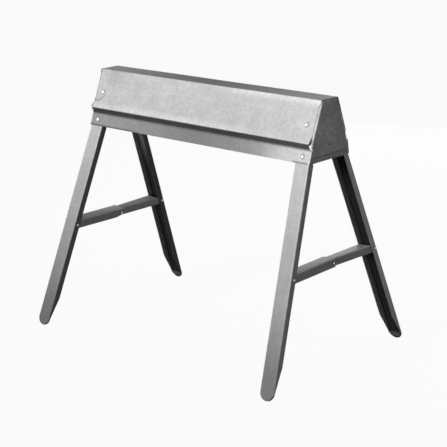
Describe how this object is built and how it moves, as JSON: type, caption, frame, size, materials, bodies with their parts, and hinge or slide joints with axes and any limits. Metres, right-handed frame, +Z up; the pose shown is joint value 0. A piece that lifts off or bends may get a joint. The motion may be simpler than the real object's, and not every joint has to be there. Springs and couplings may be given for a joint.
{
  "type": "folding sawhorse trestle",
  "caption": "Folding sheet-steel sawhorse: a hollow folded beam with end caps, channel legs that swing up into it on rivets, and folding channel braces.",
  "frame": {"origin": "on the floor, under the middle of the beam", "axes": "+X along the beam to its right-hand end, +Y to the rear, +Z up"},
  "size_m": [0.7548, 0.485, 0.61],
  "materials": {
    "beam_steel": "hot-dip galvanised sheet, faint spangle, dull to half-bright",
    "cap_steel": "hot-dip galvanised sheet, faint spangle, dull to half-bright",
    "leg_steel": "hot-dip galvanised sheet, faint spangle, dull to half-bright",
    "brace_steel": "hot-dip galvanised sheet, faint spangle, dull to half-bright",
    "rivet_steel": "plated, half-bright"
  },
  "bodies": {
    "beam": {"beam_shell": "beam_steel", "left_end_cap": "cap_steel", "left_cap_rivets": "rivet_steel", "right_end_cap": "cap_steel", "right_cap_rivets": "rivet_steel", "front_left_pivot": "rivet_steel", "front_left_pivot_washer": "rivet_steel", "rear_left_pivot": "rivet_steel", "rear_left_pivot_washer": "rivet_steel", "front_right_pivot": "rivet_steel", "front_right_pivot_washer": "rivet_steel", "rear_right_pivot": "rivet_steel", "rear_right_pivot_washer": "rivet_steel"},
    "front_left_leg": {"front_left_leg": "leg_steel", "front_left_brace_rivets": "rivet_steel"},
    "left_brace_front_half": {"left_brace_front_half": "brace_steel", "left_brace_centre_rivets": "rivet_steel"},
    "rear_left_leg": {"rear_left_leg": "leg_steel", "rear_left_brace_rivets": "rivet_steel"},
    "left_brace_rear_half": {"left_brace_rear_half": "brace_steel"},
    "front_right_leg": {"front_right_leg": "leg_steel", "front_right_brace_rivets": "rivet_steel"},
    "right_brace_front_half": {"right_brace_front_half": "brace_steel", "right_brace_centre_rivets": "rivet_steel"},
    "rear_right_leg": {"rear_right_leg": "leg_steel", "rear_right_brace_rivets": "rivet_steel"},
    "right_brace_rear_half": {"right_brace_rear_half": "brace_steel"}
  },
  "joints": [
    {"name": "front_left_fold", "type": "hinge", "parent": "beam", "child": "front_left_leg", "pos_m": [-0.318, -0.06619, 0.492], "axis": [0, -0.9397, 0.342], "range_deg": [0, 98.6]},
    {"name": "left_brace_front_half_fold", "type": "hinge", "parent": "front_left_leg", "child": "left_brace_front_half", "pos_m": [-0.33901, -0.14677, 0.24341], "axis": [0.9968, -0.0274, -0.0754], "range_deg": [0, 56.3]},
    {"name": "rear_left_fold", "type": "hinge", "parent": "beam", "child": "rear_left_leg", "pos_m": [-0.318, 0.06619, 0.492], "axis": [0, -0.9397, -0.342], "range_deg": [0, 98.6]},
    {"name": "left_brace_rear_half_fold", "type": "hinge", "parent": "rear_left_leg", "child": "left_brace_rear_half", "pos_m": [-0.33901, 0.14677, 0.24341], "axis": [-0.9968, -0.0274, 0.0754], "range_deg": [0, 56.3]},
    {"name": "front_right_fold", "type": "hinge", "parent": "beam", "child": "front_right_leg", "pos_m": [0.318, -0.06619, 0.492], "axis": [0, 0.9397, -0.342], "range_deg": [0, 90.6]},
    {"name": "right_brace_front_half_fold", "type": "hinge", "parent": "front_right_leg", "child": "right_brace_front_half", "pos_m": [0.33901, -0.14677, 0.24341], "axis": [0.9968, 0.0274, 0.0754], "range_deg": [0, 51.74]},
    {"name": "rear_right_fold", "type": "hinge", "parent": "beam", "child": "rear_right_leg", "pos_m": [0.318, 0.06619, 0.492], "axis": [0, 0.9397, 0.342], "range_deg": [0, 90.6]},
    {"name": "right_brace_rear_half_fold", "type": "hinge", "parent": "rear_right_leg", "child": "right_brace_rear_half", "pos_m": [0.33901, 0.14677, 0.24341], "axis": [-0.9968, 0.0274, -0.0754], "range_deg": [0, 51.74]}
  ],
  "couplings": [
    {"joint": "left_brace_front_half_fold", "follows": "front_left_fold", "ratio": 0.57},
    {"joint": "rear_left_fold", "follows": "front_left_fold", "ratio": 1},
    {"joint": "left_brace_rear_half_fold", "follows": "front_left_fold", "ratio": 0.57},
    {"joint": "right_brace_front_half_fold", "follows": "front_right_fold", "ratio": 0.57},
    {"joint": "rear_right_fold", "follows": "front_right_fold", "ratio": 1},
    {"joint": "right_brace_rear_half_fold", "follows": "front_right_fold", "ratio": 0.57}
  ]
}
